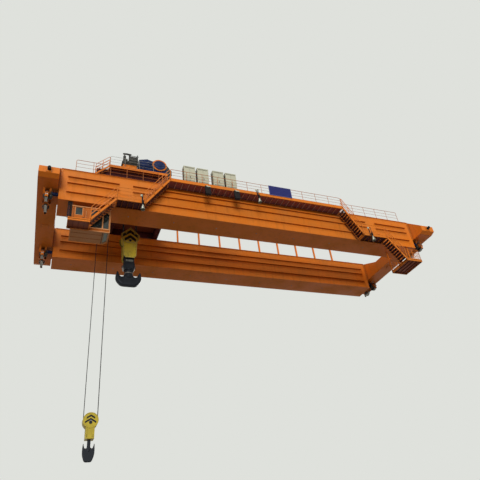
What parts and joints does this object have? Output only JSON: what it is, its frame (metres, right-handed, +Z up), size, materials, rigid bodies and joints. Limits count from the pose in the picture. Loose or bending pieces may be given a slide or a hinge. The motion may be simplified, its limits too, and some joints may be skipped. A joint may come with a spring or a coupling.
{
  "type": "double-girder overhead travelling crane",
  "caption": "Two box girders on end carriages carry a hoisting trolley with a large ramshorn hook and a smaller hook; a glazed cab, stairs and walkways hang on one side.",
  "frame": {"origin": "face of the jacking pad under the left end carriage's middle, on the runway rail line", "axes": "+X along the span to the right end carriage, +Y across the bridge away from the cab, +Z up"},
  "size_m": [35.2, 13.35, 23.1799],
  "materials": {
    "orange_paint": "orange alkyd paint on rolled plate",
    "machine_steel": "dark oiled steel and castings",
    "blue_paint": "machine enamel",
    "yellow_paint": "worn yellow paint with black chevrons",
    "rope_steel": "greased wire rope",
    "window_glass": "flat glass",
    "pale_cabinet": "powder-coated sheet",
    "black_lamp": "black die-cast housing",
    "blue_plate": "enamelled plate",
    "buffer_rubber": "buffer rubber"
  },
  "bodies": {
    "bridge": {"bogie_frames": "orange_paint", "cab_access_platform": "orange_paint", "cab_floor": "orange_paint", "cab_glass": "window_glass", "cab_roof": "orange_paint", "cab_walls": "orange_paint", "cable_track_posts": "orange_paint", "electrical_cabinets": "pale_cabinet", "end_buffers": "buffer_rubber", "front_girder": "orange_paint", "girder_railings": "orange_paint", "left_end_carriage": "orange_paint", "maintenance_cage": "orange_paint", "name_plate_blank": "blue_plate", "rear_girder": "orange_paint", "right_end_carriage": "orange_paint", "side_landings": "orange_paint", "side_stairs": "orange_paint", "stair_handrails": "orange_paint", "travel_wheels": "machine_steel", "trolley_rails": "machine_steel", "walkway_decks": "orange_paint", "work_lamps": "black_lamp"},
    "trolley": {"trolley_frame": "orange_paint", "trolley_wheels": "machine_steel", "trolley_deck": "orange_paint", "trolley_railings": "orange_paint", "trolley_ladder": "orange_paint", "main_hoist_drum": "machine_steel", "main_hoist_reducer": "blue_paint", "hoist_seats": "orange_paint", "main_hoist_motor": "blue_paint", "aux_hoist_drum": "machine_steel", "aux_hoist_reducer": "machine_steel", "aux_hoist_brake": "machine_steel", "upper_sheaves": "machine_steel"},
    "main_block": {"hook_block_housing": "yellow_paint", "hook_block_sheaves": "machine_steel", "hook_crosshead": "machine_steel", "main_ropes": "rope_steel"},
    "main_hook": {"main_hook": "machine_steel"},
    "aux_block": {"aux_block_housing": "yellow_paint", "aux_block_sheaves": "machine_steel", "aux_ropes": "rope_steel"},
    "aux_hook": {"aux_hook": "machine_steel"}
  },
  "joints": [
    {"name": "trolley_travel", "type": "slide", "parent": "bridge", "child": "trolley", "axis": [1, 0, 0], "range_m": [-1.05, 21.55]},
    {"name": "main_hoist", "type": "slide", "parent": "trolley", "child": "main_block", "axis": [0, 0, 1], "range_m": [-19.5, 1.3], "deforming": ["main_ropes"]},
    {"name": "main_hook_swivel", "type": "hinge", "parent": "main_block", "child": "main_hook", "pos_m": [6.76, 0, -3.47], "axis": [0, 0, 1], "continuous": true},
    {"name": "aux_hoist", "type": "slide", "parent": "trolley", "child": "aux_block", "axis": [0, 0, 1], "range_m": [-7.5, 16.8], "deforming": ["aux_ropes"]},
    {"name": "aux_hook_swivel", "type": "hinge", "parent": "aux_block", "child": "aux_hook", "pos_m": [4.56, 0, -16.5], "axis": [0, 0, 1], "continuous": true}
  ]
}
